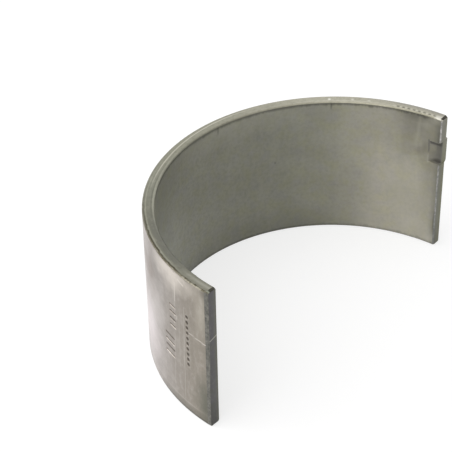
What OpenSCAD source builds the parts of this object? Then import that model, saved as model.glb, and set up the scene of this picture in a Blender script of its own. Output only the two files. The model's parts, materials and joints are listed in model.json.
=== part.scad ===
// Half shell of a plain engine bearing, in its free state, standing on one side face.
// The bearing axis is Z, the crown points to +Y and both parting faces look to -Y.
// The origin is on the bearing axis, half way along the shell's width.

/* [Housing and wall] */
// Bore of the housing that the shell is pressed into
housing_d = 56.5; // [48:0.1:70]
// Wall of the shell, back and lining together
wall = 1.82; // [1.5:0.01:2.6]
// Width of the shell along the bearing axis
shell_w = 24.13; // [18:0.01:32]
// Free spread, by which the open shell is wider than its housing
free_spread = 0.94; // [0.2:0.02:1.6]
// Crush, by which each end stands proud of the housing's joint when pressed home
crush = 0.03; // [0:0.01:0.08]

/* [Side edges] */
// Bevel along the side edges of the back
back_bevel = 0.25; // [0.1:0.05:0.5]
// Bevel along the side edges of the bore
bore_bevel = 0.35; // [0.1:0.05:0.6]

/* [Parting faces] */
// Length along the arc of the broken edge between back and parting face
back_break_l = 0.55; // [0.2:0.05:1]
// Depth of that broken edge into the wall
back_break_h = 0.2; // [0.1:0.02:0.5]
// Size of the broken edge between bore and parting face
bore_break = 0.18; // [0.05:0.01:0.3]
// Length along the arc of the bevel between parting face and upper side face
corner_bevel_l = 0.36; // [0.1:0.02:0.8]
// Height along the axis of that bevel
corner_bevel_h = 0.18; // [0.06:0.02:0.5]

/* [Bore relief] */
// Length along the arc of the relieved strip beside each parting face
relief_l = 4; // [2.6:0.1:8]
// Depth of the relieved strip
relief_h = 0.03; // [0.01:0.01:0.08]

/* [Locating tang] */
// Width of the tang along the bearing axis
tang_w = 4.35; // [2:0.05:6]
// Distance from the upper side face to the tang
tang_inset = 4.25; // [1.5:0.05:10]
// How far the tang stands out of the back
tang_h = 0.45; // [0.2:0.05:1]
// Distance along the arc from the parting face to the tang's root
tang_l = 2.6; // [2:0.1:5]
// Distance along the arc over which the tang has its full height
tang_land_l = 1; // [0.5:0.1:1.6]
// How far the tang's tip lies behind the parting face
tang_setback = 0.12; // [0.05:0.01:0.4]
// Depth of the punched recess behind the tang's tip
recess_h = 0.7; // [0.3:0.05:1.2]
// Distance along the arc from the parting face to the recess's heel
recess_l = 1.95; // [1.7:0.05:2.5]
// Depth of the step at the recess's heel
recess_heel_h = 0.15; // [0.05:0.05:0.25]
// Shear gap, by which the recess is narrower than the tang on each side
tang_shear = 0.25; // [0.1:0.05:0.5]

/* [Hidden] */
$fn = 180;
// Overshoot of a cutting shape past the surface that it cuts
cut_over = 1;
// Share of its slope by which the tang's lug runs on into the wall at its root
root_sink = 0.25;
// Radii and half width of the open shell
back_r = (housing_d + free_spread) / 2;
bore_r = back_r - wall;
relief_r = bore_r + relief_h;
half_w = shell_w / 2;
// The back is as long as half the housing's bore plus the crush at both ends
arc_a = 180 * (housing_d / 2) / back_r + 2 * degrees_on_back(crush);
end_a = (180 - arc_a) / 2;
// Span of the tang along the axis
tang_top = half_w - tang_inset;
tang_bottom = tang_top - tang_w;

// Angle of an arc length measured on the back
function degrees_on_back(arc) = arc / back_r * 180 / PI;

// Point at a radius and at an arc length behind the parting face of the tang's end
function at(r, arc) =
    let (a = end_a + degrees_on_back(arc))
    [r * cos(a), r * sin(a)];

// Section of the strip, with all four side edges bevelled
module section() {
    polygon([
        [bore_r + bore_bevel, -half_w],
        [back_r - back_bevel, -half_w],
        [back_r, -half_w + back_bevel],
        [back_r, half_w - back_bevel],
        [back_r - back_bevel, half_w],
        [bore_r + bore_bevel, half_w],
        [bore_r, half_w - bore_bevel],
        [bore_r, -half_w + bore_bevel]
    ]);
}

// The strip rolled to its free arc
module rolled_strip() {
    rotate([0, 0, end_a])
        rotate_extrude(angle = arc_a)
            section();
}

// Wedge that breaks a parting edge at radius r, into the wall for a positive depth
module edge_break(r, depth, length) {
    low = [r - 1.5 * depth, -0.5 * length];
    high = [r + 0.5 * depth, 1.5 * length];
    linear_extrude(shell_w + 2 * cut_over, center = true)
        polygon([low, high, [high.x, low.y]]);
}

// Wedge that bevels the edge between the parting face and the upper side face
module corner_cut() {
    translate([bore_r - cut_over, 0, 0])
        rotate([90, 0, 90])
            linear_extrude(wall + 2 * cut_over)
                polygon([
                    [-corner_bevel_l, half_w - 2 * corner_bevel_h],
                    [2 * corner_bevel_l, half_w + corner_bevel_h],
                    [-corner_bevel_l, half_w + corner_bevel_h]
                ]);
}

// Thin sector that relieves the bore beside the parting face
module relief_cut() {
    over_a = degrees_on_back(cut_over);
    rotate([0, 0, -over_a])
        rotate_extrude(angle = degrees_on_back(relief_l) + over_a)
            translate([bore_r - cut_over, -half_w - cut_over])
                square([cut_over + relief_h, shell_w + 2 * cut_over]);
}

// Everything that is machined at one end, laid out at the end nearest +X
module end_cuts() {
    rotate([0, 0, end_a]) {
        relief_cut();
        edge_break(back_r, back_break_h, back_break_l);
        edge_break(relief_r, -bore_break, bore_break);
        corner_cut();
    }
}

// A flat shape drawn across the axis, as wide as the tang less a margin on each side
module across_tang(margin) {
    translate([0, 0, tang_bottom + margin])
        linear_extrude(tang_w - 2 * margin)
            children();
}

// The lug pressed out of the back, full height at its land and sloping down to its root
module tang_lug() {
    tip_r = back_r + tang_h;
    inner_r = back_r - wall / 2;
    land = at(tip_r, tang_land_l);
    root = at(back_r, tang_l);
    across_tang(0)
        polygon([
            at(inner_r, tang_setback),
            at(tip_r, tang_setback),
            land,
            root + root_sink * (root - land),
            at(inner_r, tang_l)
        ]);
}

// The slot that sets the tang's tip back from the parting face
module tang_setback_cut() {
    across_tang(0)
        polygon([
            at(bore_r - cut_over, -cut_over),
            at(back_r + cut_over, -cut_over),
            at(back_r + cut_over, tang_setback),
            at(bore_r - cut_over, tang_setback)
        ]);
}

// The recess that the punch leaves in the bore, deepest at the parting face
module tang_recess() {
    floor_r = bore_r + recess_h;
    across_tang(tang_shear)
        polygon([
            at(bore_r - cut_over, -cut_over),
            at(floor_r, -cut_over),
            at(floor_r, tang_land_l),
            at(bore_r + recess_heel_h, recess_l),
            at(bore_r - cut_over, recess_l)
        ]);
}

module bearing_shell() {
    color([0.6, 0.59, 0.55])
        difference() {
            union() {
                difference() {
                    rolled_strip();
                    end_cuts();
                    mirror([1, 0, 0]) end_cuts();
                    tang_setback_cut();
                }
                tang_lug();
            }
            tang_recess();
        }
}

bearing_shell();
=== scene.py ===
"""A finely modelled bearing shell in the CAD shell's place, with its finishes, studio and camera."""

import json
import math
from functools import cached_property

import bpy
import numpy as np
from mathutils import Matrix, Vector


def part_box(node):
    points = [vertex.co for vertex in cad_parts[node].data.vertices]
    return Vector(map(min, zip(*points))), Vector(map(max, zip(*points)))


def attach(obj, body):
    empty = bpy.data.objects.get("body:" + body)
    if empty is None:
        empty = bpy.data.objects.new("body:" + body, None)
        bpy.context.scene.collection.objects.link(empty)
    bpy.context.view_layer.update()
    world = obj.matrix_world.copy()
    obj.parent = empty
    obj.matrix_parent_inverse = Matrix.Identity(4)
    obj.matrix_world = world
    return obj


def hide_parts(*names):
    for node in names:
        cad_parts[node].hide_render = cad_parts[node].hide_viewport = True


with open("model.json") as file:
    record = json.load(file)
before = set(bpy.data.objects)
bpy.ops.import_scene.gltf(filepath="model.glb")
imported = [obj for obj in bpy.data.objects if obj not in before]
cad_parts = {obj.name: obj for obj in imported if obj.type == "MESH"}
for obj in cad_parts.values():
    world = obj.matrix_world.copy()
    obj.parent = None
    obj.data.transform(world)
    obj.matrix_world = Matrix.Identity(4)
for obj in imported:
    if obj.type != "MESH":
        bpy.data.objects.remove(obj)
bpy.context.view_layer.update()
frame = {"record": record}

# Sizes from the frame, in millimetres
MM = 0.001
NODE = "bearing_shell"
mounts = {mount["name"]: mount for mount in frame["record"]["mounts"]}
box_low, box_high = (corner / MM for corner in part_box(NODE))
BACK_R = box_high.y
BORE_R = mounts["journal_bore"]["dims"]["r_mm"]
HALF_W = box_high.z
PARTING_AXIS = mounts["parting_face_tang_end"]["axis"]
END_A = math.atan2(PARTING_AXIS[0], -PARTING_AXIS[1])
ARC_L = (math.pi - 2 * END_A) * BACK_R
TANG_MID = mounts["locating_tang"]["pos_m"][2] / MM

# Side edges and relief, in millimetres
BACK_BEVEL = 0.15
BORE_BEVEL = 0.2
RELIEF_L = 4.0
RELIEF_H = 0.03
RELIEF_RAMP = 0.15
EDGE_ROUND = 0.05

# Edges of the parting faces, in millimetres
BACK_BREAK_L = 0.55
BACK_BREAK_H = 0.2
BORE_BREAK = 0.18
PLAIN_BORE_BREAK = 0.08
CORNER_BEVEL_L = 0.36
CORNER_BEVEL_H = 0.18
CORNER_REACH = 1.6
CORNER_FULL = 0.5
CAP_ROUND = 0.03
END_INSET = 0.003
# Shares of the back's broken edge that are left at the tang end, and low down at the plain end
TANG_END_BREAK = 0.65
LOW_PLAIN_BREAK = 0.2
# Heights between which the plain end's broken edge grows to its full depth
BREAK_GROWS = (-5.5, 0.5)
# Ragged line of the broken edges: mean share, then (share, pitch in mm, seed) of each wave
BREAK_MEAN = 1.12
BREAK_WAVES = [(0.08, 0.5, 11), (0.04, 0.17, 12)]

# Locating tang, in millimetres
TANG_W = 4.35
TANG_SETBACK = 0.12
TANG_H = box_high.x / math.cos(END_A + TANG_SETBACK / BACK_R) - BACK_R
TANG_L = 2.6
TANG_LAND_L = 1.0
TANG_SHEAR = 0.25
SHEAR_EDGE = 0.03
# Share of its height that the tang has at its sides, and how far in it is lower there
TANG_SIDE_H = 0.8
TANG_SIDE_W = 0.25

# Recess behind the tang, in millimetres
RECESS_H = 0.7
RECESS_L = 1.95
RECESS_HEEL_H = 0.15
# The heel is a soft step along a torn line, which moves back between two heights
HEEL_SOFT = 0.1
RECESS_TEAR = 0.1
TEAR_PITCH = 1.2
TEAR_SEED = 23
TEAR_HEIGHTS = (5.0, 7.0)
# Painted shade in the recess, from 0 to 1, and how far from its sides it fades
TOP_SHADE = 0.75
TOP_FADE = (0.2, 0.6)
LOW_SHADE = 0.2
LOW_FADE = (0.2, 1.1)
FLOOR_SHADE = 0.12
# What is added to them where the recess is deepest, up to this arc
LOW_DEEP_SHADE = 0.5
FLOOR_DEEP_SHADE = 0.14
DEEPEST_L = 0.6
# Share of the recess's depth by which its upper side leans over the floor
TOP_LEAN = 0.7
# Arcs and heights beyond which the floor is clear
CLEAR_ARCS = (0.9, 1.2)
CLEAR_HEIGHTS = (5.4, 6.0)
# A line behind the heel, painted shade above the first two heights and a painted highlight below the
# others
HEEL_LINE_IN = 0.15
HEEL_LINE_W = 0.12
HEEL_SHADE = 0.5
HEEL_DARK = (5.2, 5.8)
HEEL_LIGHT = (4.6, 5.4)

# Mesh steps, in millimetres
COARSE_STEP = 1.0
FINE_STEP = 0.1
STAMP_ROW_STEP = 0.13
STAMP_MARGIN = 0.2
TANG_ROW_STEP = 0.12
TANG_ROW_REACH = 0.4
EDGE_ROW = 0.15
ROW_GAP = 0.02
# Lengths of the fine zones at the tang end and at the plain end
FAR_ZONE = 9.6
NEAR_ZONE = 11.0
# Points along each side face and along each bevel of the section
SIDE_STEPS = 8
BEVEL_STEPS = 2
# Angle in degrees from which an edge of the mesh is sharp
SHARP_DEGREES = 32

# Marks pressed into the back near the plain end, in millimetres
MARK_DEPTH = 0.1
MARK_HALF_W = 0.14
MARK_BURR = 0.012
DOT_R = 0.16
# Where the flank of a mark and the lip around it rise and fall, in half widths
MARK_FLANK = (0.5, 1.5)
LIP_RISE = (1.0, 1.6)
LIP_FALL = (1.6, 2.8)
# Plain bars across the back: (low arc, high arc, heights), with the arc from the plain end
BARS = [
    (7.1, 8.5, (5.3, 4.1, 2.9, 1.7)),
    (7.7, 10.0, (-0.7, -1.8, -2.9, -4.0)),
]
# A row of plain dots beside them: arc from the plain end, lowest height, pitch and count
DOT_ARC, DOT_LOW, DOT_PITCH, DOT_COUNT = 4.35, -3.1, 0.95, 10

# Scratches on the back: two (arc from the plain end, height) ends, half width, depth, brightness
SCRATCHES = [
    ((3.9, 2.95), (1.8, 2.75), 0.05, 0.02, 0.6),
    ((1.8, 2.75), (0.3, 2.65), 0.06, 0.02, 0.85),
    ((7.0, 9.9), (7.05, 6.6), 0.07, 0.01, 0.6),
    ((7.05, 6.6), (7.9, -9.0), 0.05, 0.01, 0.22),
    ((5.0, 6.8), (5.3, -9.5), 0.05, 0.01, 0.28),
    ((6.2, 4.2), (6.4, -4.8), 0.05, 0.01, 0.18),
    ((6.1, 10.95), (4.9, 10.6), 0.14, 0.0, 0.5),
    ((6.7, 4.1), (6.75, 3.6), 0.14, 0.0, 0.35),
]
# Where the flank of a scratch rises, in half widths
SCRATCH_FLANK = (0.3, 1.6)

# Tooth marks along the upper side face at the tang end, in millimetres
TICK_PITCH = 0.93
TICK_FIRST = 1.7
TICK_COUNT = 8
TICK_HALF_L = 0.24
TICK_DEPTH = 0.05
# Where their flanks rise, in half lengths
TICK_FLANK = (0.6, 1.4)
# Their middle, how far they stray from it and where they end beside it, as shares of the wall
TICK_MIDDLE = 0.27
TICK_STRAY = 0.04
TICK_SEED = 5
TICK_SPAN = (0.06, 0.17)

# Floor and light around the shell: size in metres, tone and strengths
FLOOR_SIZE = 4.0
FLOOR_TONE = 0.35
FLOOR_GLOW = 0.7
AMBIENT = 0.55
# Lamps: name, place and size in metres, power in watts
LAMPS = [
    ("key", (-0.49, 0.297, 0.566), 1.2, 6.6),
    ("rim", (-0.257, 0.72, 0.274), 0.6, 1.5),
]

# The photograph's camera: angles in degrees, lengths in millimetres or, where named so, in pixels
IMAGE_PX = 452
FOCAL_PX = 1558.3
SENSOR_W = 36.0
CAMERA_AZ, CAMERA_EL, CAMERA_ROLL = -48.98, 35.86, -1.23
CAMERA_DISTANCE = 238.04
CAMERA_AIM = (-4.21, 18.41, 1.31)
# The nearest and the farthest that it sees, in metres
CLIP_START, CLIP_END = 0.01, 10


# Shape helpers

# Random draws for a wobbling line, and the one at its zero
WOBBLE_DRAWS = 512
WOBBLE_START = 200


def smooth(low, high, x):
    """0 below low, 1 above high, and a smooth step between."""
    t = np.clip((np.asarray(x, float) - low) / (high - low), 0, 1)
    return t * t * (3 - 2 * t)


def wobble(x, pitch, seed):
    """A smooth random line between -1 and 1, with one draw for each pitch along x."""
    draws = np.random.RandomState(seed).uniform(-1, 1, WOBBLE_DRAWS)
    at = np.asarray(x, float) / pitch + WOBBLE_START
    cell = np.floor(at).astype(int)
    t = smooth(0, 1, at - cell)
    return draws[cell % WOBBLE_DRAWS] * (1 - t) + draws[(cell + 1) % WOBBLE_DRAWS] * t


def steps(low, high, step):
    """Even steps from low to high, no longer than step, both ends left out."""
    count = max(2, math.ceil((high - low) / step))
    return [low + (high - low) * i / count for i in range(1, count)]


def segment_distance(x, y, start, end):
    """Distance from points (x, y) to a line from start to end."""
    ax, ay = start
    dx, dy = end[0] - ax, end[1] - ay
    t = np.clip(((x - ax) * dx + (y - ay) * dy) / (dx * dx + dy * dy), 0, 1)
    return np.hypot(x - ax - t * dx, y - ay - t * dy)


# Section of the strip: a closed row of points, each with the zones whose columns use it

FAR, MID, NEAR = "far", "mid", "near"
ALL_ZONES = {FAR, MID, NEAR}
BORE, BORE_TOP, TOP, BACK_TOP, BACK, BACK_LOW, LOW, BORE_LOW = range(8)
# The corner at which each of these edges of the section starts: (radius, height)
CORNERS = [
    (BORE_R, -HALF_W + BORE_BEVEL),
    (BORE_R, HALF_W - BORE_BEVEL),
    (BORE_R + BORE_BEVEL, HALF_W),
    (BACK_R - BACK_BEVEL, HALF_W),
    (BACK_R, HALF_W - BACK_BEVEL),
    (BACK_R, -HALF_W + BACK_BEVEL),
    (BACK_R - BACK_BEVEL, -HALF_W),
    (BORE_R + BORE_BEVEL, -HALF_W),
]


def corner_at(i):
    """A corner of the section; the numbers go round."""
    return np.array(CORNERS[i % len(CORNERS)])


def tang_rows():
    """Heights of the rows that the tang's sheared sides and rounded edges need."""
    rows = []
    for side in (-1, 1):
        edge = TANG_MID + side * TANG_W / 2
        inner = edge - side * TANG_SHEAR
        for place in (edge, inner):
            rows += [place + k * SHEAR_EDGE for k in (-2, -1, 1, 2)]
    reach = TANG_W / 2 + TANG_ROW_REACH
    rows += steps(TANG_MID - reach, TANG_MID + reach, TANG_ROW_STEP)
    return rows


def side_rows(half, extra):
    """Rows of a side of the strip: (height, zones), from low to high, close to the ends too."""
    near_edge = half - EDGE_ROW
    coarse = [-near_edge, *steps(-near_edge, near_edge, COARSE_STEP), near_edge]
    rows = {round(z, 4): set(ALL_ZONES) for z in coarse}
    for zone, heights in extra.items():
        for z in heights:
            if min(abs(z - c) for c in coarse) > ROW_GAP:
                rows.setdefault(round(z, 4), set()).add(zone)
    return sorted(rows.items())


def side_points(kind, start):
    """Points along an edge of the section, between its two rounded corners."""
    if kind == BORE:
        rows = side_rows(HALF_W - BORE_BEVEL, {FAR: tang_rows()})
        return [(kind, BORE_R, z, zones) for z, zones in rows]
    if kind == BACK:
        half = HALF_W - BACK_BEVEL
        marks = steps(STAMP_MARGIN - half, half - STAMP_MARGIN, STAMP_ROW_STEP)
        rows = side_rows(half, {FAR: tang_rows(), NEAR: marks})
        return [(kind, BACK_R, z, zones) for z, zones in reversed(rows)]
    count = SIDE_STEPS if kind in (TOP, LOW) else BEVEL_STEPS
    step = (corner_at(kind + 1) - start) / (count + 1)
    return [(kind, *(start + step * k), ALL_ZONES) for k in range(1, count + 1)]


def build_section():
    """The closed section as a list of points: edge kind, radius, height, zones."""
    points = []
    for kind in range(len(CORNERS)):
        corner = corner_at(kind)
        back, ahead = (corner_at(i) - corner for i in (kind - 1, kind + 1))
        into = corner + back / np.linalg.norm(back) * EDGE_ROUND
        out = corner + ahead / np.linalg.norm(ahead) * EDGE_ROUND
        middle = (into + 2 * corner + out) / 4
        before = (kind - 1) % len(CORNERS)
        points += [(before, *into, ALL_ZONES), (before, *middle, ALL_ZONES), (kind, *out, ALL_ZONES)]
        points += side_points(kind, out)
    return points


# Columns along the arc, from the tang end's parting face


def build_columns():
    """Places along the back, each with its zone."""
    ends = [END_INSET, CAP_ROUND / 2, CAP_ROUND]
    far = ends + list(np.arange(FINE_STEP, FAR_ZONE, FINE_STEP))
    near = [ARC_L - s for s in reversed(ends + list(np.arange(FINE_STEP, NEAR_ZONE, FINE_STEP)))]
    middle = steps(far[-1], near[0], COARSE_STEP)
    return [(s, FAR) for s in far] + [(s, MID) for s in middle] + [(s, NEAR) for s in near]


# Form of the surfaces: how far each point leaves the plain section


def tang_span(z, margin):
    """1 within the tang's width less a margin on each side, 0 outside, with sheared edges."""
    inside = TANG_W / 2 - margin - np.abs(z - TANG_MID)
    return smooth(-SHEAR_EDGE, SHEAR_EDGE, inside)


def within_tang(s, z):
    """1 in the stretch of the strip that the tang takes up, 0 elsewhere."""
    return tang_span(z, 0) * (s < TANG_L)


def lug_height(s, z):
    """How far the tang stands out of the back."""
    slope = np.clip((TANG_L - s) / (TANG_L - TANG_LAND_L), 0, 1)
    from_side = TANG_W / 2 - np.abs(z - TANG_MID)
    shoulder = TANG_SIDE_H + (1 - TANG_SIDE_H) * smooth(0, TANG_SIDE_W, from_side)
    return TANG_H * slope * tang_span(z, 0) * shoulder


def heel_place(z):
    """Place along the arc of the recess's heel, a torn line across the tang's width."""
    return RECESS_L + RECESS_TEAR * (wobble(z, TEAR_PITCH, TEAR_SEED) + smooth(*TEAR_HEIGHTS, z))


def recess_depth(s, z):
    """How deep the recess that the tang's punch leaves goes into the bore."""
    t = np.clip((RECESS_L - s) / (RECESS_L - TANG_LAND_L), 0, 1)
    floor = RECESS_HEEL_H + (RECESS_H - RECESS_HEEL_H) * t
    heel = 1 - smooth(-HEEL_SOFT, HEEL_SOFT, s - heel_place(z))
    return floor * heel * tang_span(z, TANG_SHEAR)


def recess_masks(s, z):
    """(painted shade in the recess and behind its heel, 1 on the heel's painted highlight)."""
    depth = recess_depth(s, z)
    half = TANG_W / 2 - TANG_SHEAR
    from_top = TANG_MID + half - z - TOP_LEAN * depth
    from_low = z - TANG_MID + half
    deepest = 1 - smooth(DEEPEST_L, RECESS_L, s)
    clear = smooth(*CLEAR_ARCS, s) * smooth(*CLEAR_HEIGHTS, z)
    top_shade = TOP_SHADE * (1 - smooth(*TOP_FADE, from_top))
    low_shade = (LOW_SHADE + LOW_DEEP_SHADE * deepest) * (1 - smooth(*LOW_FADE, from_low))
    floor_shade = FLOOR_SHADE * (1 - clear) + FLOOR_DEEP_SHADE * deepest
    shade = np.maximum(floor_shade, np.maximum(top_shade, low_shade))
    shade = shade * np.clip(depth / RECESS_HEEL_H, 0, 1)
    from_line = s - heel_place(z) - HEEL_LINE_IN
    behind = np.exp(-(from_line / HEEL_LINE_W) ** 2) * tang_span(z, 0)
    shade = np.maximum(shade, HEEL_SHADE * behind * smooth(*HEEL_DARK, z))
    return shade, behind * (1 - smooth(*HEEL_LIGHT, z))


def mark_mask(plain, z):
    """(1 in the bottom of a pressed mark, 1 on the lip around it)."""
    nearest = np.full(plain.shape, np.inf)
    for low, high, heights in BARS:
        for height in heights:
            nearest = np.minimum(nearest, segment_distance(plain, z, (low, height), (high, height)))
    for i in range(DOT_COUNT):
        off = np.hypot(plain - DOT_ARC, z - DOT_LOW - i * DOT_PITCH)
        nearest = np.minimum(nearest, np.maximum(off - DOT_R, 0))
    off = nearest / MARK_HALF_W
    lip = smooth(*LIP_RISE, off) * (1 - smooth(*LIP_FALL, off))
    return 1 - smooth(*MARK_FLANK, off), lip


def scratch_mask(plain, z):
    """(depth in mm, brightness) of the scratches on the back."""
    depth, bright = np.zeros(plain.shape), np.zeros(plain.shape)
    for start, end, half, deep, shine in SCRATCHES:
        near = 1 - smooth(*SCRATCH_FLANK, segment_distance(plain, z, start, end) / half)
        depth = np.maximum(depth, near * deep)
        bright = np.maximum(bright, near * shine)
    return depth, bright


def tick_mask(s, share):
    """1 in the tooth marks on the upper side face; share runs from bore to back."""
    place = (s - TICK_FIRST) / TICK_PITCH
    number = np.clip(np.round(place), 0, TICK_COUNT - 1)
    off = np.abs(place - number) * TICK_PITCH
    along = 1 - smooth(*TICK_FLANK, off / TICK_HALF_L)
    middle = TICK_MIDDLE + TICK_STRAY * wobble(number, 1, TICK_SEED)
    return along * (1 - smooth(*TICK_SPAN, np.abs(share - middle)))


def end_form(z, s):
    """Radii of bore and back, and the drop of the side faces, with the edges of both ends cut."""
    to_end = np.minimum(s, ARC_L - s)
    tang_end = s < ARC_L / 2
    cap = CAP_ROUND * (1 - np.sqrt(1 - (1 - np.clip(to_end / CAP_ROUND, 0, 1)) ** 2))
    ragged = BREAK_MEAN + sum(share * wobble(z, pitch, seed) for share, pitch, seed in BREAK_WAVES)
    plain_share = LOW_PLAIN_BREAK + (1 - LOW_PLAIN_BREAK) * smooth(*BREAK_GROWS, z)
    break_h = BACK_BREAK_H * ragged * np.where(tang_end, TANG_END_BREAK, plain_share)
    break_l = BACK_BREAK_L * ragged * np.where(tang_end, TANG_END_BREAK, 1)
    broken = break_h * np.clip(1 - to_end / break_l, 0, 1) * (1 - within_tang(s, z))
    bore_break = np.where(tang_end, BORE_BREAK, PLAIN_BORE_BREAK)
    opened = bore_break * np.clip(1 - to_end / bore_break, 0, 1)
    relief = RELIEF_H * (1 - smooth(RELIEF_L - RELIEF_RAMP, RELIEF_L + RELIEF_RAMP, to_end))
    bevelled = CORNER_BEVEL_H * np.clip(1 - to_end / CORNER_BEVEL_L, 0, 1) * (z > 0)
    by_side = smooth(HALF_W - CORNER_REACH, HALF_W - CORNER_FULL, np.abs(z))
    return BORE_R + opened + cap + relief, BACK_R - broken - cap, (bevelled + cap) * by_side


def shell_points(kind, r, z, s):
    """Places (r, z, s) of the section's points at the columns, and the masks for the finishes."""
    is_back, is_bore, is_top = kind == BACK, kind == BORE, kind == TOP
    plain = ARC_L - s
    share = (r - BORE_R) / (BACK_R - BORE_R)
    bore_at, back_at, drop = end_form(z, s)
    bottom, burr = (is_back * mask for mask in mark_mask(plain, z))
    scratched, bright = (is_back * mask for mask in scratch_mask(plain, z))
    punched, heel = (is_bore * mask for mask in recess_masks(s, z))
    ticks = is_top * tick_mask(s, share)
    new_r = bore_at + share * (back_at - bore_at)
    new_r = new_r + is_back * lug_height(s, z) + is_bore * recess_depth(s, z)
    new_r = new_r - bottom * MARK_DEPTH + burr * MARK_BURR - scratched
    new_z = z - np.sign(z) * drop - TICK_DEPTH * ticks
    new_s = s + within_tang(s, z) * TANG_SETBACK * (1 - np.clip(s / TANG_LAND_L, 0, 1))
    # Masks: the lips around the marks with the painted highlight behind the heel, and the painted
    # shade in the recess
    masks = {
        "pressed": np.maximum(bottom, ticks),
        "lip": np.maximum(burr, heel),
        "punched": punched,
        "scratch": bright,
    }
    return new_r, new_z, new_s, masks


# Mesh of the shell

STEEL, LINING, EDGE, PARTING, BROKEN, CORNER, BRIGHT = range(7)


def finish_at(kind, s, in_tang):
    """The finish of a face of the section's edge kind at a place along the arc."""
    to_end = min(s, ARC_L - s)
    if kind == BORE:
        return BRIGHT if to_end < BORE_BREAK and not in_tang else LINING
    if kind == BACK:
        return BROKEN if to_end < BACK_BREAK_L and not in_tang else STEEL
    return CORNER if to_end < CORNER_BEVEL_L and kind == TOP else EDGE


def cap_faces(column, section, flip):
    """Triangles across a parting face, zipped between its bore side and its back side."""
    kept = list(column)
    split_top = next(k for k, j in enumerate(kept) if section[j][0] == TOP)
    split_low = [k for k, j in enumerate(kept) if section[j][0] == LOW][-1]
    bore = kept[split_low:] + kept[:split_top]
    back = kept[split_top:split_low][::-1]
    a, b, faces = 0, 0, []
    while a < len(bore) - 1 or b < len(back) - 1:
        step_bore = b == len(back) - 1 or (
            a < len(bore) - 1 and section[bore[a + 1]][2] <= section[back[b + 1]][2])
        if step_bore:
            face = [column[bore[a]], column[bore[a + 1]], column[back[b]]]
            a += 1
        else:
            face = [column[bore[a]], column[back[b + 1]], column[back[b]]]
            b += 1
        faces.append(face[::-1] if flip else face)
    return faces


def build_shell():
    """The shell's mesh, with a strip attribute (arc, height, radius in mm) and the masks."""
    section, columns = build_section(), build_columns()
    kinds, radii, heights = (np.array(x) for x in list(zip(*section))[:3])
    index, column_of, row_of = [], [], []
    for c, (_, zone) in enumerate(columns):
        kept = [j for j, point in enumerate(section) if zone in point[3]]
        index.append({j: len(row_of) + k for k, j in enumerate(kept)})
        column_of += [c] * len(kept)
        row_of += kept
    s = np.array([columns[c][0] for c in column_of])
    r, z, s_moved, masks = shell_points(kinds[row_of], radii[row_of], heights[row_of], s)
    angle = END_A + s_moved / BACK_R
    places = np.stack([r * np.cos(angle), r * np.sin(angle), z], 1)

    faces, finishes = [], []
    for c in range(len(columns) - 1):
        here, there = index[c], index[c + 1]
        middle = (columns[c][0] + columns[c + 1][0]) / 2
        shared = [j for j in here if j in there]
        for a, b in zip(shared, shared[1:] + shared[:1]):
            last = b if b > a else b + len(section)
            run = [j % len(section) for j in range(a, last + 1)]
            near_side = [here[j] for j in run if j in here]
            far_side = [there[j] for j in run if j in there]
            faces.append(near_side + far_side[::-1])
            kind = kinds[b] if kinds[a] != kinds[b] and b > a else kinds[a]
            in_tang = c < len(columns) / 2 and abs(heights[a] + heights[b] - 2 * TANG_MID) < TANG_W
            finishes.append(finish_at(kind, middle, in_tang))
    for c in (0, len(columns) - 1):
        cap = cap_faces(index[c], section, flip=c == 0)
        faces += cap
        finishes += [PARTING] * len(cap)

    mesh = bpy.data.meshes.new("bearing_shell_visual")
    mesh.from_pydata((places * MM).tolist(), [], faces)
    mesh.polygons.foreach_set("material_index", finishes)
    mesh.polygons.foreach_set("use_smooth", [True] * len(faces))
    strip = mesh.attributes.new("strip", "FLOAT_VECTOR", "POINT")
    strip.data.foreach_set("vector", np.stack([s, z, r], 1).astype(np.float32).ravel())
    for name, values in masks.items():
        layer = mesh.attributes.new(name, "FLOAT", "POINT")
        layer.data.foreach_set("value", np.asarray(values, np.float32))
    mesh.update()
    mesh.set_sharp_from_angle(angle=math.radians(SHARP_DEGREES))
    return mesh


# Tones, stains and painted light of the finishes: colours as 0 to 255 display values, places in
# millimetres

# Soft patches, stains and painted light alike, that are larger than the grain have rims broken up by
# the drift
PATCH_GRAIN = 2.5
PATCH_DRIFT = 4.0
PATCH_DETAIL = 4.0
# On the back they are drawn out beyond this arc from the plain end, by this factor, so that the
# painted reflections among them become long bands of sheen
TAIL_FROM = 19.0
TAIL_DRAW = 8.0
# Share of a soft oval's size within which it is at its full strength
SPOT_CORE = 0.2
# How far each step of a noise's seed moves it: along the arc, the axis and the wall
NOISE_SHIFT = (7.3, 3.1, 1.7)
# Arcs between which the small faces of the two ends are told apart
BETWEEN_ENDS = (40, 60)
# Arcs over which what marks the crown's side faces fades out
CROWN_END = (62, 54)
# Arcs from the plain end over which the strip along the back's lower edge fades in
LOW_STRIP = (14, 8)

# Tones of the back, lighter away from the plain end as painted sheen: (arc from the plain end, colour)
BACK_TONES = [
    (0.0, (146, 139, 128)),
    (2.0, (150, 143, 132)),
    (4.0, (150, 143, 133)),
    (7.0, (156, 149, 141)),
    (10.0, (162, 155, 149)),
    (13.0, (176, 169, 165)),
    (16.0, (188, 181, 178)),
    (24.0, (186, 180, 178)),
]
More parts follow.
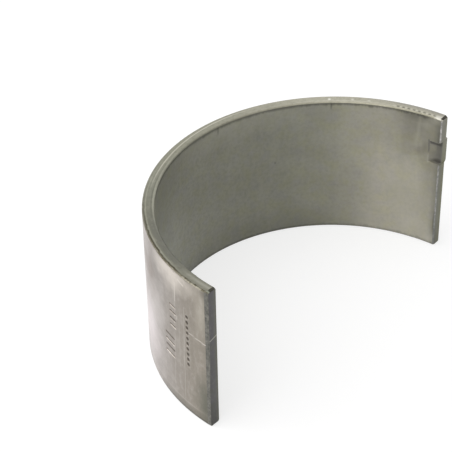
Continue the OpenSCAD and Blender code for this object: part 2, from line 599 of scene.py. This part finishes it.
# Stains on the back, and painted reflections among them: the dark clouds high up and the light patches
# below them and along the top edge: (arc from the plain end, height), sizes, how much, colour
BACK_STAINS_AND_SHEEN = [
    ((15.6, 7.0), (5.1, 6.5), 0.6, (128, 115, 105)),
    ((13.0, 8.4), (3.0, 4.5), 0.3, (96, 92, 80)),
    ((17.5, -4.2), (6.5, 7.0), 0.6, (236, 227, 228)),
    ((8.0, 11.6), (6.5, 4.0), 0.6, (236, 228, 218)),
    ((0.4, -8.5), (3.2, 7.0), 0.6, (92, 95, 82)),
    ((13.5, 1.5), (4.0, 4.5), 0.4, (206, 200, 196)),
    ((1.2, 8.0), (1.8, 6.0), 0.35, (196, 190, 178)),
    ((0.5, 11.5), (1.5, 1.3), 0.45, (100, 97, 90)),
    ((0.7, -8.2), (1.7, 4.2), 0.35, (98, 101, 92)),
]
# Tones of the lining, light near the tang end and darker over the crown, partly painted light and
# shade: (arc from the tang end, colour)
LINING_TONES = [
    (0.0, (138, 136, 124)),
    (0.4, (146, 144, 131)),
    (1.3, (182, 178, 163)),
    (11.0, (186, 182, 167)),
    (19.0, (154, 153, 139)),
    (27.0, (141, 141, 128)),
    (34.0, (139, 139, 126)),
    (47.0, (143, 143, 130)),
    (ARC_L, (146, 146, 132)),
]
# Patches that tint the lining: seed of their noise, and what they multiply the colour by
LINING_TINTS = [
    (19, (1.0, 1.0, 0.9, 1)),
    (20, (0.97, 0.97, 1.03, 1)),
]
# Stains on the lining, and painted light among them: painted shade in the dark clouds high up by the
# tang end, and painted light in the light patches low down there: (arc from the tang end, height),
# sizes, how much, colour
LINING_STAINS_AND_PAINTED_LIGHT = [
    ((5.0, 12.0), (10.0, 11.0), 0.45, (104, 103, 92)),
    ((39.0, 11.5), (20.0, 4.5), 0.36, (172, 170, 156)),
    ((5.6, 9.0), (2.4, 6.0), 0.18, (92, 91, 80)),
    ((4.7, 11.4), (3.3, 1.2), 0.4, (70, 69, 60)),
    ((1.5, 0.3), (2.4, 5.5), 0.34, (112, 110, 98)),
    ((0.8, -10.9), (2.3, 1.1), 0.3, (214, 210, 194)),
    ((2.6, 10.4), (1.7, 1.3), 0.22, (200, 197, 180)),
    ((1.1, 11.5), (1.6, 0.8), 0.3, (200, 197, 180)),
    ((0.4, 8.0), (4.6, 7.0), 0.42, (92, 91, 80)),
    ((3.9, 5.2), (1.2, 1.2), 0.25, (84, 82, 72)),
    ((2.8, 6.2), (0.9, 1.6), 0.3, (84, 82, 72)),
    ((6.0, -3.5), (6.5, 8.0), 0.22, (214, 210, 194)),
    ((13.5, 6.0), (4.0, 4.0), 0.15, (104, 103, 92)),
    ((29.1, 1.63), (0.25, 0.3), 0.5, (70, 69, 60)),
    ((19.4, 11.4), (0.25, 0.9), 0.6, (70, 69, 60)),
    ((40.3, 11.4), (0.25, 1.2), 0.5, (70, 69, 60)),
    ((0.2, -7.5), (0.35, 2.4), 0.6, (70, 69, 60)),
    ((0.35, 8.5), (0.4, 1.8), 0.2, (58, 57, 50)),
    ((4.0, -9.5), (5.0, 4.0), 0.3, (214, 210, 194)),
]
# Tones of the side faces: (arc from the tang end, colour)
EDGE_TONES = [
    (0.0, (168, 165, 150)),
    (10.0, (178, 175, 159)),
    (20.0, (180, 177, 161)),
    (33.0, (162, 160, 145)),
    (48.0, (148, 147, 132)),
    (60.0, (138, 138, 125)),
    (70.0, (122, 122, 110)),
    (79.0, (122, 122, 110)),
    (ARC_L, (134, 132, 120)),
]
# Tones of the bevels between side faces and bore: (arc from the tang end, colour)
BEVEL_TONES = [
    (0.0, (116, 113, 99)),
    (8.0, (132, 129, 114)),
    (14.0, (155, 152, 136)),
    (25.0, (161, 158, 142)),
    (36.0, (156, 153, 138)),
    (47.0, (148, 147, 132)),
    (60.0, (160, 160, 146)),
    (68.0, (160, 160, 146)),
    (76.0, (127, 127, 115)),
    (84.0, (128, 127, 116)),
    (ARC_L, (118, 117, 106)),
]
# Rings worn into the side faces: share of the wall, half width, how much, colour, arc where they end
EDGE_RINGS = [
    (0.27, 0.07, 0.45, (70, 69, 59), 74),
    (0.13, 0.08, 0.35, (190, 190, 174), 74),
    (0.72, 0.09, 0.35, (186, 184, 168), 86),
]
# Bright nicks on the side faces: arc from the tang end, how much
EDGE_NICKS = [(13.2, 0.3), (15.9, 0.4), (19.7, 0.8)]
# Their (arc, height, radius) size and distance from the bore
NICK_SIZE = (0.36, 0, 0.38)
NICK_IN = 0.85
# A painted highlight in their corner at the tang end: (arc, height, radius) place and size
CORNER_HIGHLIGHT = (0.7, 0, BORE_R + 0.45)
CORNER_HIGHLIGHT_SIZE = (1.2, 0, 0.7)
# Tones of the parting faces: (arc from the tang end, colour)
PARTING_TONES = [
    (0.0, (118, 118, 107)),
    (ARC_L, (92, 90, 93)),
]
# Heights at which the scratch across the plain end's parting face meets the bore and the back
PARTING_SCRATCH = (3.9, 3.4)


def colour(red, green, blue):
    """A colour written as 0 to 255 display values, as the shader's linear one."""
    def linear(v):
        v /= 255
        return v / 12.92 if v <= 0.04045 else ((v + 0.055) / 1.055) ** 2.4
    return (linear(red), linear(green), linear(blue), 1)


class Finish:
    """A material under construction: a base colour, and coats of other tones laid over it.

    Its places are arc, from the tang end, plain, from the plain end, height along the axis and
    radius, all in millimetres, and share of the wall from bore to back. A ramp along a place is
    (low, high), which gives 0 to 1, or (low, high, value at low, value at high).
    """

    def __init__(self, name, metallic, tailed=False):
        self.material = bpy.data.materials.new(name)
        self.material.use_nodes = True
        self.nodes = self.material.node_tree.nodes
        self.links = self.material.node_tree.links
        self.shader = self.nodes["Principled BSDF"]
        self.shader.inputs["Metallic"].default_value = metallic
        self.tailed = tailed
        self.base = None
        self.strip = self.attribute("strip", "Vector")
        apart = self.nodes.new("ShaderNodeSeparateXYZ")
        self.links.new(self.strip, apart.inputs[0])
        self.arc, self.height, self.radius = apart.outputs

    @cached_property
    def plain(self):
        """Arc from the plain end's parting face."""
        return self.math("SUBTRACT", ARC_L, self.arc)

    @cached_property
    def share(self):
        """Share of the wall, 0 at the bore and 1 at the back."""
        return self.remap(self.radius, BORE_R, BACK_R)

    @cached_property
    def broken(self):
        """Strip space pushed about by noise, in which a large soft patch has a broken rim, stains and
        painted light alike.
        """
        drift = self.nodes.new("ShaderNodeTexNoise")
        drift.inputs["Scale"].default_value = 1 / PATCH_GRAIN
        drift.inputs["Detail"].default_value = PATCH_DETAIL
        self.links.new(self.strip, drift.inputs["Vector"])
        push = self.nodes.new("ShaderNodeVectorMath")
        push.operation = "MULTIPLY_ADD"
        push.inputs[1].default_value = (PATCH_DRIFT, PATCH_DRIFT, 0)
        push.inputs[2].default_value = (-PATCH_DRIFT / 2, -PATCH_DRIFT / 2, 0)
        self.links.new(drift.outputs["Color"], push.inputs[0])
        flat = self.nodes.new("ShaderNodeCombineXYZ")
        self.links.new(self.drawn_out() if self.tailed else self.arc, flat.inputs[0])
        self.links.new(self.height, flat.inputs[1])
        moved = self.nodes.new("ShaderNodeVectorMath")
        self.links.new(flat.outputs[0], moved.inputs[0])
        self.links.new(push.outputs[0], moved.inputs[1])
        return moved.outputs[0]

    def drawn_out(self):
        """Arc that is drawn out away from the plain end, so that soft patches, the painted sheen among
        them, have long tails there.
        """
        limit = ARC_L - TAIL_FROM
        beyond = self.math("MINIMUM", self.math("SUBTRACT", self.arc, limit), 0)
        within = self.math("MAXIMUM", self.arc, limit)
        return self.math("ADD", within, self.math("DIVIDE", beyond, TAIL_DRAW))

    def attribute(self, name, output="Fac"):
        """A value that the mesh carries."""
        node = self.nodes.new("ShaderNodeAttribute")
        node.attribute_name = name
        return node.outputs[output]

    def math(self, operation, a, b):
        """A sum, product or the like of two values."""
        node = self.nodes.new("ShaderNodeMath")
        node.operation = operation
        for socket, value in zip(node.inputs, (a, b)):
            self.feed(socket, value)
        return node.outputs[0]

    def feed(self, socket, value):
        """Sets a socket to a constant, or links it to an output."""
        if isinstance(value, (int, float, tuple)):
            socket.default_value = value
        else:
            self.links.new(value, socket)

    def remap(self, value, low, high, to_low=0.0, to_high=1.0):
        """A ramp along a value, flat beyond both its ends."""
        node = self.nodes.new("ShaderNodeMapRange")
        for socket, given in zip(node.inputs, (value, low, high, to_low, to_high)):
            self.feed(socket, given)
        return node.outputs[0]

    def band(self, value, middle, half):
        """1 where a value is at middle, 0 from half away on."""
        off = self.math("ABSOLUTE", self.math("SUBTRACT", value, middle), 0)
        return self.remap(off, half, 0)

    def noise(self, scale, detail=3.0, roughness=0.55, seed=0.0):
        """Noise in strip space; scale is (along the arc, along the axis, through the wall), per mm."""
        place = self.nodes.new("ShaderNodeMapping")
        place.inputs["Scale"].default_value = scale
        place.inputs["Location"].default_value = [seed * shift for shift in NOISE_SHIFT]
        self.links.new(self.strip, place.inputs["Vector"])
        node = self.nodes.new("ShaderNodeTexNoise")
        node.inputs["Scale"].default_value = 1.0
        node.inputs["Detail"].default_value = detail
        node.inputs["Roughness"].default_value = roughness
        self.links.new(place.outputs[0], node.inputs["Vector"])
        return node.outputs[0]

    def spot(self, place, size):
        """1 in the middle of a soft oval, 0 from its rim on; both are (arc, height, radius)."""
        oval = self.nodes.new("ShaderNodeMapping")
        scale = [1 / v if v else 0 for v in size]
        oval.inputs["Scale"].default_value = scale
        oval.inputs["Location"].default_value = [-p * k for p, k in zip(place, scale)]
        large = min(v for v in size if v) > PATCH_GRAIN
        self.links.new(self.broken if large else self.strip, oval.inputs["Vector"])
        length = self.nodes.new("ShaderNodeVectorMath")
        length.operation = "LENGTH"
        self.links.new(oval.outputs[0], length.inputs[0])
        return self.remap(length.outputs["Value"], 1.0, SPOT_CORE)

    def tones(self, value, stops):
        """Colours at places along a value, from the first stop to the last."""
        low, high = stops[0][0], stops[-1][0]
        node = self.nodes.new("ShaderNodeValToRGB")
        self.links.new(self.remap(value, low, high), node.inputs[0])
        elements = node.color_ramp.elements
        while len(elements) < len(stops):
            elements.new(0.5)
        for element, (place, tone) in zip(elements, stops):
            element.position = (place - low) / (high - low)
            element.color = colour(*tone)
        return node.outputs[0]

    def blend(self, amount, a, b, mode="MIX"):
        """A mix of two colours, all b where the amount is 1."""
        node = self.nodes.new("ShaderNodeMix")
        node.data_type = "RGBA"
        node.blend_type = mode
        for socket, value in zip((node.inputs[0], node.inputs[6], node.inputs[7]), (amount, a, b)):
            self.feed(socket, value)
        return node.outputs[2]

    def product(self, *factors, **ramps):
        """The product of factors, and of ramps along the places that they are named after."""
        terms = list(factors)
        terms += [self.remap(getattr(self, place), *limits) for place, limits in ramps.items()]
        total = terms[0]
        for term in terms[1:]:
            total = self.math("MULTIPLY", total, term)
        return total

    def coat(self, tone, *factors, **ramps):
        """Lays a tone over the base, as strongly as the product of factors and ramps says."""
        self.base = self.blend(self.product(*factors, **ramps), self.base, colour(*tone))

    def soft_patch(self, place, size, amount, tone):
        """Lays a soft oval of a tone over the base."""
        self.coat(tone, self.spot((*place, 0), (*size, 0)), amount)

    def bump(self, height, strength=0.2, distance=0.02):
        """Fine relief under the modelled one; distance is in millimetres."""
        node = self.nodes.new("ShaderNodeBump")
        node.inputs["Strength"].default_value = strength
        node.inputs["Distance"].default_value = distance * MM
        self.links.new(height, node.inputs["Height"])
        return node.outputs[0]

    def done(self, roughness, normal):
        """The material, with its base colour, roughness and relief in place."""
        self.links.new(self.base, self.shader.inputs["Base Color"])
        self.links.new(roughness, self.shader.inputs["Roughness"])
        self.links.new(normal, self.shader.inputs["Normal"])
        return self.material


def steel_finish():
    """Satin steel back: tones along the arc that are painted sheen, axial streaks, stains and painted
    reflections, pressed marks, scratches, and a painted contact shadow along the lower edge.
    """
    f = Finish("steel_back", 1.0, tailed=True)
    f.base = f.tones(f.plain, BACK_TONES)
    cloudy = f.remap(f.noise((0.35, 0.2, 0), 4, seed=1), 0.35, 0.65)
    streaks = f.remap(f.noise((2.4, 0.08, 0), seed=2), 0.4, 0.75)
    ground = f.noise((0.05, 5.0, 0), 3, 0.6, seed=18)
    grain = f.noise((3.5, 2.5, 0), seed=3)
    patches = f.noise((1.0, 0.6, 0), 3, 0.6, seed=17)
    f.coat((118, 112, 103), cloudy, plain=(12, 30, 0.16, 0.1))
    f.coat((208, 202, 197), streaks, plain=(12, 30, 0.1, 0.2))
    f.coat((120, 115, 110), f.remap(ground, 0.45, 0.7), plain=(4, 26, 0.1, 0.3))
    f.coat((116, 109, 100), f.remap(grain, 0.45, 0.75, 0.0, 0.16))
    f.coat((206, 200, 194), f.remap(patches, 0.5, 0.75, 0.0, 0.25))
    for (plain, height), size, amount, tone in BACK_STAINS_AND_SHEEN:
        f.soft_patch((ARC_L - plain, height), size, amount, tone)
    # Near the plain end the lower edge has a dull strip, a light line along its top and a dark rim of
    # painted contact shadow
    f.coat((104, 102, 92), 0.4, height=(-10.3, -11.0), plain=LOW_STRIP)
    line = f.product(f.band(f.height, -10.4, 0.18), plain=LOW_STRIP)
    f.coat((212, 207, 197), line, 0.25, plain=(1, 4))
    f.coat((76, 75, 67), height=(-11.4, -11.75, 0.0, 0.55), plain=(13, 8))
    # The parting edge is dull, and a ragged dark rim runs under the upper edge
    f.coat((104, 101, 91), plain=(1.3, 0.4, 0.0, 0.2))
    ragged = f.remap(f.noise((1.1, 0, 0), seed=22), 0.35, 0.65, -0.12, 0.12)
    edge = HALF_W - BACK_BEVEL
    rim = f.remap(f.math("ADD", f.height, ragged), edge - 0.3, edge)
    f.coat((92, 88, 76), rim, f.remap(f.plain, 2, 4), plain=(30, 16, 0.0, 0.4))
    # Dark in the marks, a painted highlight on their lips, and bright scratches
    f.coat((64, 57, 49), f.attribute("pressed"), 0.85)
    f.coat((206, 200, 192), f.attribute("lip"), 0.15)
    f.coat((228, 222, 214), f.attribute("scratch"))
    worn = f.math("ADD", f.math("MULTIPLY", streaks, 0.5), cloudy)
    relief = f.math("ADD", grain, f.math("ADD", streaks, ground))
    return f.done(f.remap(worn, 0.2, 1.4, 0.36, 0.46), f.bump(relief))


def lining_finish():
    """Matt grey plating, darker over the crown and at its edges, partly as painted shade, with painted
    shade high up by the tang end and painted light low down there.
    """
    f = Finish("grey_lining", 0.35)
    f.base = f.tones(f.arc, LINING_TONES)
    cloudy = f.remap(f.noise((0.14, 0.2, 0), seed=4), 0.35, 0.65)
    bands = f.noise((0.8, 0.06, 0), seed=5)
    grain = f.noise((1.6, 1.6, 0), 4, 0.65, seed=6)
    f.coat((112, 111, 100), cloudy, 0.12)
    f.coat((176, 172, 160), f.remap(bands, 0.5, 0.75, 0.0, 0.1))
    f.coat((104, 104, 92), f.remap(grain, 0.42, 0.8), arc=(16, 36, 0.22, 0.5))
    for seed, tint in LINING_TINTS:
        patches = f.remap(f.noise((0.5, 0.5, 0), seed=seed), 0.45, 0.65)
        f.base = f.blend(patches, f.base, tint, "MULTIPLY")
    for soft_patch in LINING_STAINS_AND_PAINTED_LIGHT:
        f.soft_patch(*soft_patch)
    # A faint light line where the relief ends, slanting away from the tang end downwards
    relief = f.math("SUBTRACT", f.arc, f.remap(f.height, HALF_W, 4, RELIEF_L, RELIEF_L + 0.6))
    f.coat((208, 205, 190), f.band(relief, 0.0, 0.5), height=(4, 8, 0.0, 0.13))
    # Ragged dark lines along both edges, and painted shade in a darker strip above the lower one
    edge = HALF_W - BORE_BEVEL
    ragged = f.remap(f.noise((1.3, 0, 0), seed=15), 0.3, 0.7, -0.25, 0.25)
    ragged = f.product(ragged, arc=(10, 18, 1.0, 0.5))
    upper = f.remap(f.math("ADD", f.height, ragged), edge - 0.55, edge - 0.15)
    f.coat((58, 58, 48), upper, f.remap(f.arc, 1.5, 3.5), arc=(72, 62, 0.15, 0.65))
    f.coat((84, 85, 75), height=(4.5 - edge, 0.3 - edge), arc=(12, 24, 0.0, 0.3))
    lower = f.remap(f.math("SUBTRACT", ragged, f.height), edge - 0.5, edge - 0.15)
    f.coat((62, 62, 52), lower, arc=(8, 40, 0.3, 0.65))
    # A painted highlight behind the heel, a grey tone inside the recess, and painted shade along its
    # sides, over its floor and behind its heel
    f.coat((196, 193, 180), f.attribute("lip"), 0.3)
    punched = f.attribute("punched")
    f.coat((130, 128, 127), f.remap(punched, 0.1, 0.25, 0.0, 0.4))
    f.coat((56, 55, 51), punched, 0.9)
    return f.done(f.remap(cloudy, 0, 1, 0.42, 0.5), f.bump(f.math("ADD", grain, bands)))


def edge_finish():
    """Turned side faces and bevels: tones along the arc, turning lines, rings near the plain end,
    painted highlights over the crown and in a corner at the tang end, and painted shade along the
    lower side.
    """
    f = Finish("turned_edge", 1.0)
    bevel = BORE_BEVEL / (BACK_R - BORE_R)
    on_bevel = f.remap(f.share, bevel + 0.03, bevel)
    f.base = f.blend(on_bevel, f.tones(f.arc, EDGE_TONES), f.tones(f.arc, BEVEL_TONES))
    turned = f.noise((0.12, 0.5, 7.0), seed=7)
    blotch = f.noise((0.7, 0.7, 1.6), seed=8)
    grain = f.noise((2.2, 2.2, 3.0), 2, seed=9)
    f.coat((112, 110, 98), f.remap(turned, 0.45, 0.75, 0.0, 0.2))
    f.coat((190, 186, 172), f.remap(blotch, 0.5, 0.75, 0.0, 0.2))
    f.coat((100, 98, 86), f.remap(grain, 0.45, 0.7, 0.0, 0.25))
    # A painted highlight over the crown, a bright line that drifts across the face along the arc, and
    # rings from there to the plain end
    crown_highlight = f.math("SUBTRACT", f.share, f.remap(f.arc, 36, 52, 0.66, 0.49))
    f.coat((222, 218, 204), f.band(crown_highlight, 0.0, 0.08), 0.6, f.remap(f.arc, 30, 40), arc=CROWN_END)
    for place, half, amount, tone, last in EDGE_RINGS:
        ring = f.band(f.share, place, half)
        f.coat(tone, ring, f.remap(f.arc, last, last - 8), arc=(50, 62, 0.0, amount))
    f.coat((98, 98, 94), 0.35, f.remap(f.arc, 84, 80), share=(0.6, 0.5), arc=(66, 72))
    # The outer edge near the plain end: a dark rim with a ragged, chipped line inside it
    near_plain = f.remap(f.arc, 60, 74)
    rim = f.blend(f.remap(f.arc, 83, 86), colour(106, 101, 90), colour(146, 141, 129))
    f.base = f.blend(f.product(near_plain, share=(0.9, 0.95, 0.0, 0.8)), f.base, rim)
    ragged = f.remap(f.noise((1.1, 0, 0), seed=16), 0.35, 0.65, -0.05, 0.05)
    line = f.remap(f.band(f.math("ADD", f.share, ragged), 0.88, 0.11), 0, 0.6)
    chips = f.remap(f.noise((1.6, 0, 0), 2, seed=21), 0.45, 0.6, 0.35, 1)
    f.coat((82, 78, 64), line, near_plain, f.math("MAXIMUM", f.remap(f.arc, 84, 82), chips))
    # The bevel is dark over the crown, the face clean at the plain end, and painted shade on the lower
    # side
    f.coat((66, 66, 57), f.remap(f.arc, *CROWN_END), share=(bevel, 0.02), arc=(12, 44, 0.0, 0.48))
    f.coat((178, 177, 166), f.band(f.share, 0.45, 0.25), arc=(82, 86, 0.0, 0.5))
    f.coat((56, 55, 48), height=(1 - HALF_W, 0.5 - HALF_W, 0.0, 0.8))
    # Towards the tang end: a bright inner half with tooth marks and nicks, a dull outer half, and a
    # painted highlight in the corner
    f.coat((214, 211, 196), f.band(f.share, 0.24, 0.2), arc=(26, 20, 0.0, 0.3))
    f.coat((214, 211, 196), f.band(f.share, TICK_MIDDLE, 0.2), arc=(9.5, 8.0, 0.0, 0.4))
    f.coat((100, 97, 86), f.attribute("pressed"), 0.75)
    for arc, amount in EDGE_NICKS:
        f.coat((242, 240, 232), f.spot((arc, 0, BORE_R + NICK_IN), NICK_SIZE), amount)
    f.coat((146, 143, 140), share=(0.5, 0.75), arc=(14, 8, 0.0, 0.45))
    f.coat((218, 216, 208), f.spot(CORNER_HIGHLIGHT, CORNER_HIGHLIGHT_SIZE), 0.6)
    return f.done(f.remap(turned, 0.3, 0.7, 0.42, 0.52), f.bump(turned))


def parting_finish():
    """Cut parting faces, dark with fine lines along the axis, painted shade towards the bottom, and
    one scratch on the plain end's.
    """
    f = Finish("cut_parting_face", 1.0)
    by_plain = f.remap(f.arc, *BETWEEN_ENDS)
    by_tang = f.math("SUBTRACT", 1, by_plain)
    f.base = f.tones(f.arc, PARTING_TONES)
    cut = f.noise((0, 0.12, 6.0), seed=10)
    mottle = f.noise((0, 1.4, 2.0), seed=11)
    patches = f.noise((0, 0.7, 1.2), seed=24)
    f.coat((118, 118, 90), by_tang, radius=(BORE_R + 0.7, BORE_R + 1.3, 0.0, 0.6))
    f.coat((146, 143, 136), by_tang, height=(3, 7, 0.0, 0.35))
    f.coat((74, 73, 70), f.remap(cut, 0.35, 0.65, 0.3, 0.0))
    f.coat((126, 125, 118), f.remap(mottle, 0.5, 0.8, 0.0, 0.3))
    f.coat((86, 87, 74), f.remap(patches, 0.45, 0.65), arc=(*BETWEEN_ENDS, 0.12, 0.35))
    f.coat((100, 101, 82), by_plain, radius=(BORE_R + 0.8, BORE_R + 0.2, 0.0, 0.55))
    f.coat((60, 60, 54), by_plain, height=(2, -2, 0.0, 0.1))
    scratch = f.math("SUBTRACT", f.height, f.remap(f.share, 0, 1, *PARTING_SCRATCH))
    f.coat((206, 203, 192), f.band(scratch, 0.0, 0.1), by_plain, share=(0, 1, 0.9, 0.6))
    # Painted shade towards the bottom of both faces, strongest at the plain end
    f.coat((60, 60, 54), height=(-7.0, -HALF_W), arc=(*BETWEEN_ENDS, 0.25, 0.65))
    return f.done(f.remap(cut, 0.3, 0.7, 0.36, 0.46), f.bump(cut, 0.3))


def mottled(name, dark, light, seed):
    """Broken metal, two tones in small patches: (the finish so far, its patches)."""
    f = Finish(name, 1.0)
    patches = f.remap(f.noise((2.2, 1.6, 2.2), 4, 0.65, seed=seed), 0.35, 0.7)
    f.base = f.blend(patches, colour(*dark), colour(*light))
    return f, patches


def mottled_done(f, patches, roughness):
    """The material of a mottled finish, a little smoother and higher where its patches are light."""
    return f.done(f.remap(patches, 0, 1, roughness, roughness - 0.1), f.bump(patches, 0.3, 0.03))


def broken_finish():
    """Broken edge between back and parting face."""
    f, patches = mottled("broken_edge", (97, 97, 92), (134, 132, 126), seed=12)
    return mottled_done(f, patches, 0.5)


def corner_finish():
    """Small dark facet at the upper corner of each end, pale by the back at the plain end."""
    f, patches = mottled("dark_corner", (60, 59, 53), (86, 84, 76), seed=13)
    f.coat((146, 148, 134), radius=(BACK_R - 0.65, BACK_R - 0.45), arc=BETWEEN_ENDS)
    return mottled_done(f, patches, 0.5)


def bright_finish():
    """Broken edge between bore and parting face, brightest above the tang."""
    f, patches = mottled("bore_break", (104, 105, 102), (138, 139, 136), seed=14)
    tang_low, tang_top = TANG_MID - TANG_W / 2, TANG_MID + TANG_W / 2
    above = f.product(f.remap(f.height, 12.0, 10.0, 0.35, 1), height=(tang_top - 0.3, tang_top))
    below = f.product(f.remap(f.height, -7.0, -5.5, 0.0, 0.32), height=(tang_low + 0.3, tang_low))
    shine = f.product(f.math("MAXIMUM", above, below), arc=BETWEEN_ENDS[::-1])
    f.coat((200, 196, 193), shine, f.remap(patches, 0.2, 0.7, 0.35, 0.9))
    return mottled_done(f, patches, 0.4)


# In the order of the finishes' numbers
FINISHES = [
    steel_finish,
    lining_finish,
    edge_finish,
    parting_finish,
    broken_finish,
    corner_finish,
    bright_finish,
]

shell = bpy.data.objects.new("bearing_shell_visual", build_shell())
bpy.context.scene.collection.objects.link(shell)
for finish in FINISHES:
    shell.data.materials.append(finish())
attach(shell, "root")
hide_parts(NODE)


# Studio


def camera_like_rays(nodes, links):
    """1 for camera rays and for mirrored or refracted ones, which see the background as it is."""
    path = nodes.new("ShaderNodeLightPath")
    total = path.outputs["Is Camera Ray"]
    for name in ("Is Glossy Ray", "Is Transmission Ray"):
        node = nodes.new("ShaderNodeMath")
        node.operation = "MAXIMUM"
        links.new(total, node.inputs[0])
        links.new(path.outputs[name], node.inputs[1])
        total = node.outputs[0]
    return total


def make_floor():
    """A pale floor that keeps the shell's soft shadow."""
    half = FLOOR_SIZE / 2
    z = box_low.z * MM
    corners = [(-half, -half, z), (half, -half, z), (half, half, z), (-half, half, z)]
    mesh = bpy.data.meshes.new("floor")
    mesh.from_pydata(corners, [], [(0, 1, 2, 3)])
    floor = bpy.data.objects.new("floor", mesh)
    bpy.context.scene.collection.objects.link(floor)
    material = bpy.data.materials.new("pale_floor")
    material.use_nodes = True
    nodes, links = material.node_tree.nodes, material.node_tree.links
    shader = nodes["Principled BSDF"]
    shader.inputs["Base Color"].default_value = (FLOOR_TONE, FLOOR_TONE, FLOOR_TONE, 1)
    shader.inputs["Roughness"].default_value = 1.0
    shader.inputs["Specular IOR Level"].default_value = 0.0
    shader.inputs["Emission Color"].default_value = (1, 1, 1, 1)
    glow = nodes.new("ShaderNodeMath")
    glow.operation = "MULTIPLY"
    glow.inputs[1].default_value = FLOOR_GLOW
    links.new(camera_like_rays(nodes, links), glow.inputs[0])
    links.new(glow.outputs[0], shader.inputs["Emission Strength"])
    mesh.materials.append(material)


def make_world():
    """White to the camera and in reflections, and a plain ambient level for the rest."""
    world = bpy.data.worlds.new("studio")
    bpy.context.scene.world = world
    world.use_nodes = True
    nodes, links = world.node_tree.nodes, world.node_tree.links
    level = nodes.new("ShaderNodeMapRange")
    level.inputs["To Min"].default_value = AMBIENT
    level.inputs["To Max"].default_value = 1.0
    links.new(camera_like_rays(nodes, links), level.inputs["Value"])
    nodes["Background"].inputs["Color"].default_value = (1, 1, 1, 1)
    links.new(level.outputs[0], nodes["Background"].inputs["Strength"])


def area_light(name, place, size, power):
    """A soft square lamp at place, in metres, turned to the shell's middle."""
    data = bpy.data.lights.new(name, "AREA")
    data.size = size
    data.energy = power
    lamp = bpy.data.objects.new(name, data)
    bpy.context.scene.collection.objects.link(lamp)
    lamp.location = place
    aim = Vector((0, BACK_R * MM / 2, 0))
    lamp.rotation_euler = (aim - Vector(place)).to_track_quat("-Z", "Y").to_euler()


def make_camera():
    """The photograph's view, in the frame's axes."""
    azimuth, elevation, roll = (math.radians(v) for v in (CAMERA_AZ, CAMERA_EL, CAMERA_ROLL))
    level = Vector((math.sin(azimuth), -math.cos(azimuth), 0))
    back = math.cos(elevation) * level + Vector((0, 0, math.sin(elevation)))
    right = Vector((math.cos(azimuth), math.sin(azimuth), 0))
    up = back.cross(right)
    turned_right = math.cos(roll) * right + math.sin(roll) * up
    turned_up = math.cos(roll) * up - math.sin(roll) * right
    data = bpy.data.cameras.new("camera")
    data.sensor_width = SENSOR_W
    data.lens = FOCAL_PX / IMAGE_PX * SENSOR_W
    data.clip_start, data.clip_end = CLIP_START, CLIP_END
    camera = bpy.data.objects.new("camera", data)
    bpy.context.scene.collection.objects.link(camera)
    turn = Matrix((turned_right, turned_up, back)).transposed().to_4x4()
    place = Vector(CAMERA_AIM) * MM + back * CAMERA_DISTANCE * MM
    camera.matrix_world = Matrix.Translation(place) @ turn
    bpy.context.scene.camera = camera


make_floor()
make_world()
for lamp in LAMPS:
    area_light(*lamp)
make_camera()
bpy.context.scene.view_settings.view_transform = "Standard"
